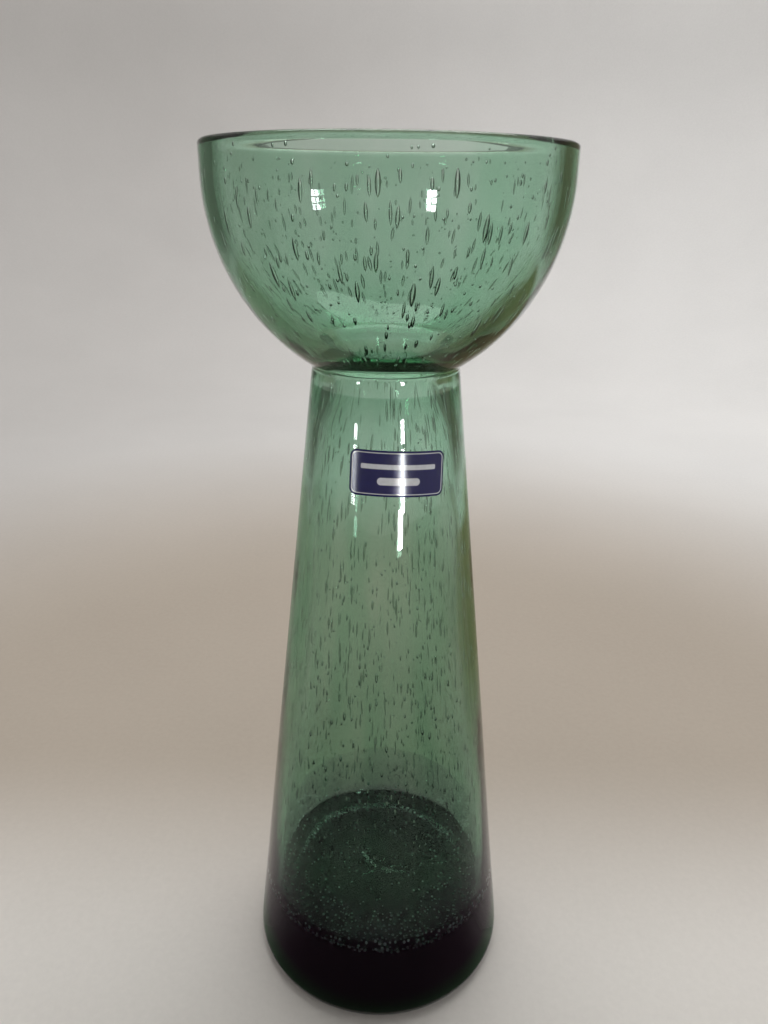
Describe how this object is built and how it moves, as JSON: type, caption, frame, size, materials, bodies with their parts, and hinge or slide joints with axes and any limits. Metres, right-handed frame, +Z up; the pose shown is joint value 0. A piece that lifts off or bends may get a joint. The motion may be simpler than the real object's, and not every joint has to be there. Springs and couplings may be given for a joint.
{
  "type": "hyacinth forcing vase",
  "caption": "Hyacinth forcing vase in cased seeded glass: a bowl for the bulb on a narrow throat, above a tall conical stem for water and roots, with a dark amethyst base.",
  "frame": {"origin": "centre of the circle that the foot stands on, at table level", "axes": "+Z up along the axis of the vase; the labelled side faces -Y; +X to the right when the label is looked at"},
  "size_m": [0.0888, 0.0888, 0.2446],
  "materials": {
    "green_foot_glass": "fire-polished, dark green, clear",
    "amethyst_glass": "fire-polished, very dark amethyst, clear",
    "clear_glass": "fire-polished, almost colourless, faintly smoky",
    "green_seeded_glass": "fire-polished, mid green, full of drawn-out air seeds",
    "green_ring_glass": "fire-polished, mid green, thick",
    "label_film": "glossy printed film, navy with a plain white line pattern"
  },
  "bodies": {
    "root": {"green_foot": "green_foot_glass", "amethyst_base": "amethyst_glass", "stem_clear_casing": "clear_glass", "stem_seeded_lining": "green_seeded_glass", "throat_ring": "green_ring_glass", "bowl_seeded_lining": "green_seeded_glass", "bowl_clear_casing": "clear_glass", "label": "label_film"}
  },
  "joints": []
}
